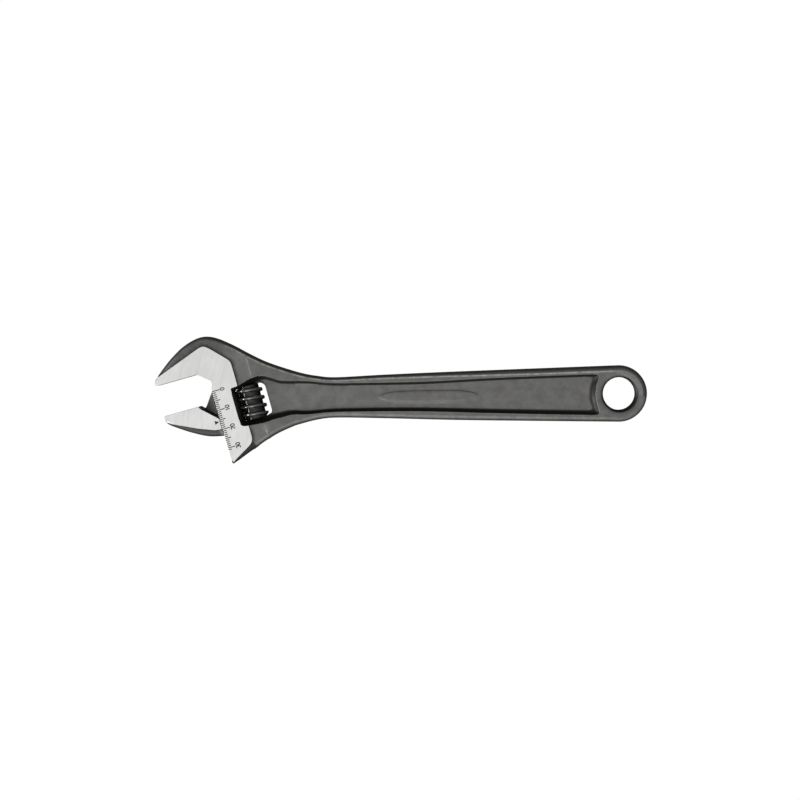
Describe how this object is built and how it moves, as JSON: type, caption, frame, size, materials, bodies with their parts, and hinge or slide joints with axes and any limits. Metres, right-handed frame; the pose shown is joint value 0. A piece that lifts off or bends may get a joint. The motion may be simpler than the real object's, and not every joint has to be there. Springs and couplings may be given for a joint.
{
  "type": "adjustable wrench",
  "caption": "Black forged adjustable wrench with an I-section handle, a hang hole, bright ground jaws, a graduated plate and a knurl that slides the lower jaw.",
  "frame": {"origin": "middle of the bounding box's underside; the wrench lies flat", "axes": "+X along the handle from the head to the hang hole, +Y towards the fixed jaw's side, +Z the thickness"},
  "size_m": [0.2534, 0.066, 0.0155],
  "materials": {
    "forged_black": "black phosphated forging, matte, with bright ground faces",
    "jaw_steel": "bright ground faces, black phosphated flanks",
    "knurl_black": "oiled black oxide, satin gloss",
    "pin_steel": "black oxide",
    "spring_steel": "bright drawn wire"
  },
  "bodies": {
    "body": {"wrench_body": "forged_black", "knurl_pin": "pin_steel"},
    "jaw": {"movable_jaw": "jaw_steel"},
    "knurl": {"knurl": "knurl_black", "knurl_spring": "spring_steel"}
  },
  "joints": [
    {"name": "knurl_spin", "type": "hinge", "parent": "body", "child": "knurl", "pos_m": [-0.07691, -0.00109, 0.00775], "axis": [-0.2588, 0.9659, 0], "range_deg": [-1286, 1368]},
    {"name": "jaw_slide", "type": "slide", "parent": "body", "child": "jaw", "axis": [-0.2588, 0.9659, 0], "range_m": [-0.015, 0.01595]}
  ],
  "couplings": [
    {"joint": "knurl_spin", "follows": "jaw_slide", "rad_per_m": 1496}
  ]
}
